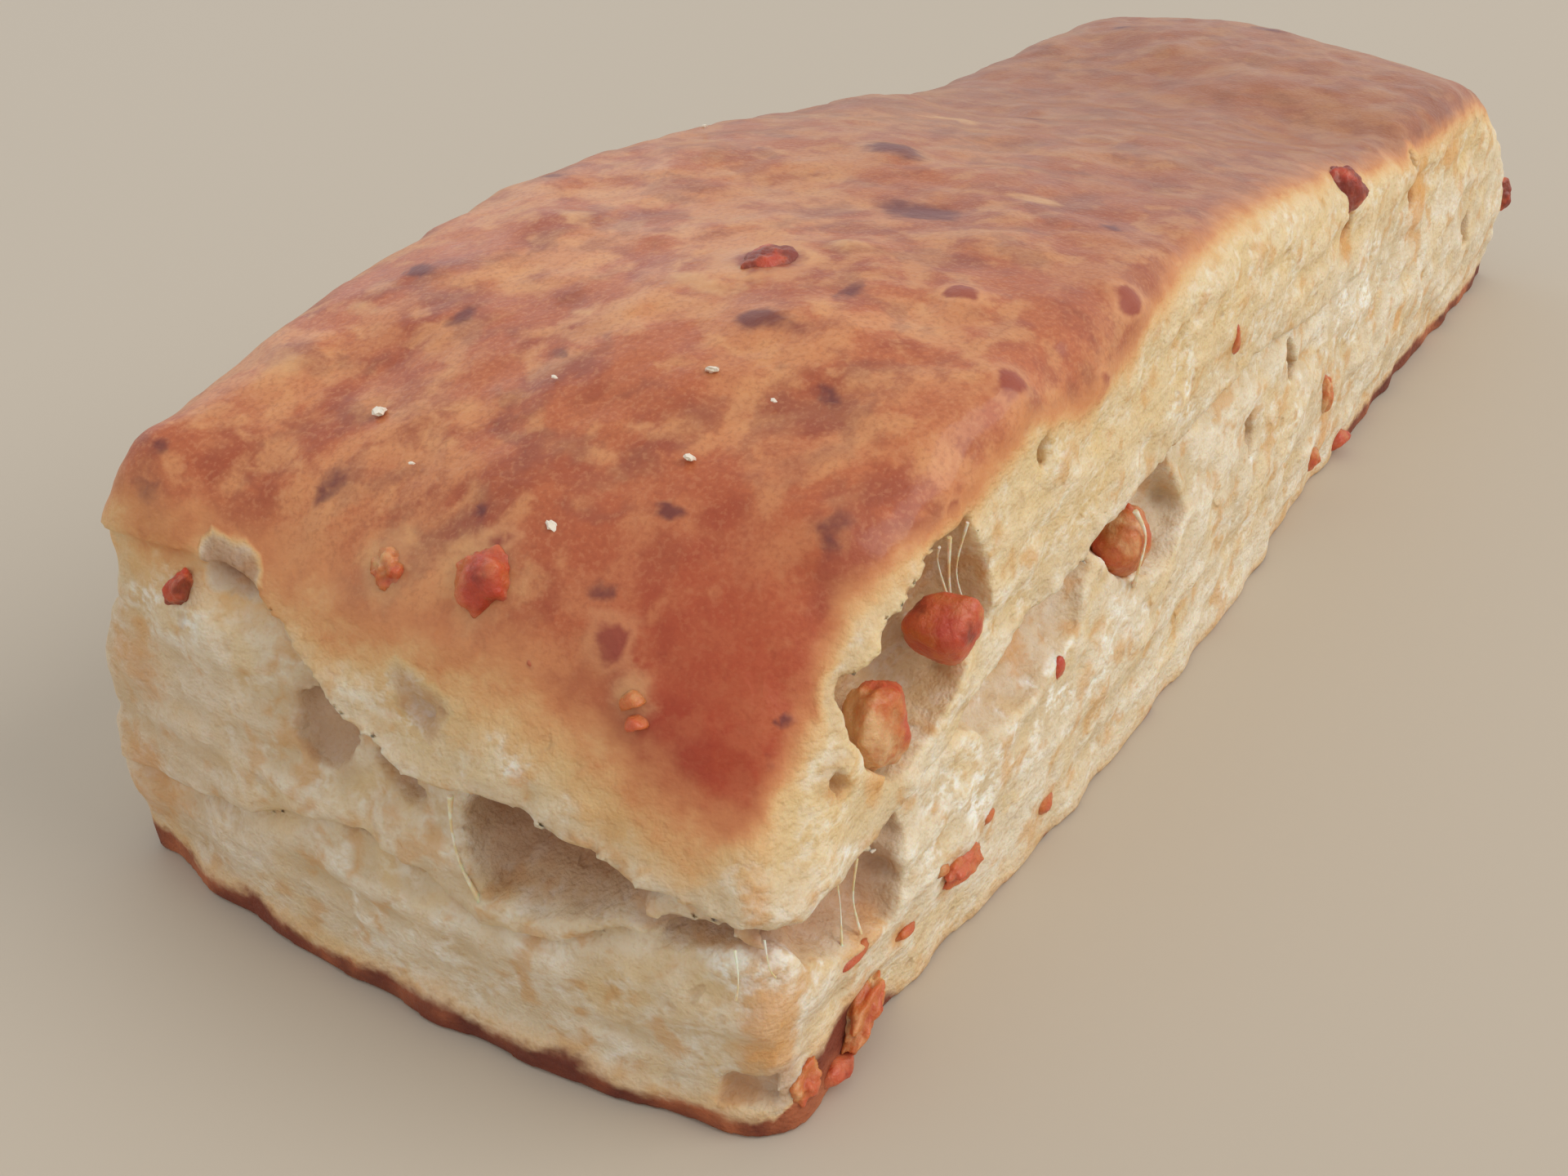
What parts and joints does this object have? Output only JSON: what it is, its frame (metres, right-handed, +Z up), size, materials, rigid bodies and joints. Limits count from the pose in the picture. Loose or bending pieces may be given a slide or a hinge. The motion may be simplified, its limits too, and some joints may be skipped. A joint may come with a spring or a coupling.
{
  "type": "pork crackling pastry",
  "caption": "Bar-shaped baked pastry of layered dough with a browned crust, open air pockets in its cut sides and pieces of pork crackling set in it.",
  "frame": {"origin": "middle of the footprint, on the flat underside", "axes": "+X along the loaf from the tall near end to the low far end, +Y to the left of that, +Z up"},
  "size_m": [0.1954, 0.066, 0.0464],
  "materials": {
    "dough": "baked, browned on top, pale and porous at the sides",
    "crackling": "glossy, slightly see-through amber to dark red"
  },
  "bodies": {
    "root": {"dough": "dough", "crackling_01": "crackling", "crackling_02": "crackling", "crackling_03": "crackling", "crackling_04": "crackling", "crackling_05": "crackling", "crackling_06": "crackling", "crackling_07": "crackling", "crackling_08": "crackling", "crackling_09": "crackling", "crackling_10": "crackling", "crackling_11": "crackling", "crackling_12": "crackling", "crackling_13": "crackling", "crackling_14": "crackling"}
  },
  "joints": []
}
